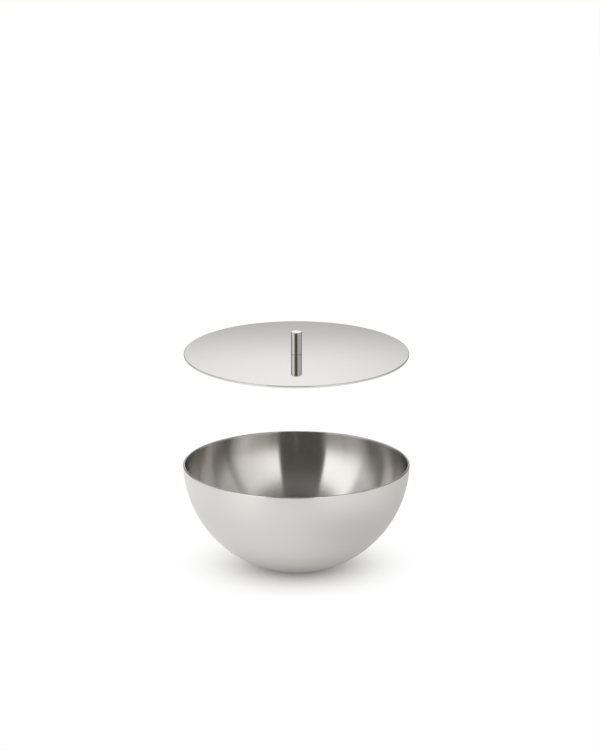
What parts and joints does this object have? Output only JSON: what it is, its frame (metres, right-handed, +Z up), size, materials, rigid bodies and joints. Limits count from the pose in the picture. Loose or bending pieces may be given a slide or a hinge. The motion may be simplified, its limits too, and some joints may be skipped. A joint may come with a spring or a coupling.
{
  "type": "lidded dappen dish",
  "caption": "Small round stainless steel dish for nail liquid, almost a hemisphere, with a flat polished lift-off lid that has a slim pin handle.",
  "frame": {"origin": "on the bowl's axis in the plane that the bowl stands on", "axes": "+Z up along the bowl's axis, through the middle of the lid; the object is round, so +X and +Y are free choices"},
  "size_m": [0.08, 0.08, 0.0858],
  "materials": {
    "bowl_steel": "pressed stainless steel, satin outside and finely brushed round the inside",
    "lid_steel": "stainless steel polished to a mirror",
    "ring_steel": "mill-finish stainless steel sheet",
    "knob_steel": "turned stainless steel, polished",
    "screw_steel": "cold-headed stainless steel, bright",
    "washer_steel": "stamped stainless steel, tumbled"
  },
  "bodies": {
    "dish": {"bowl": "bowl_steel"},
    "lid": {"lid_disc": "lid_steel", "locating_ring": "ring_steel", "knob": "knob_steel", "knob_screw": "screw_steel", "knob_washer": "washer_steel"}
  },
  "joints": [
    {"name": "lid_lift", "type": "slide", "parent": "dish", "child": "lid", "axis": [0, 0, 1], "range_m": [-0.0401, 0.06]}
  ]
}
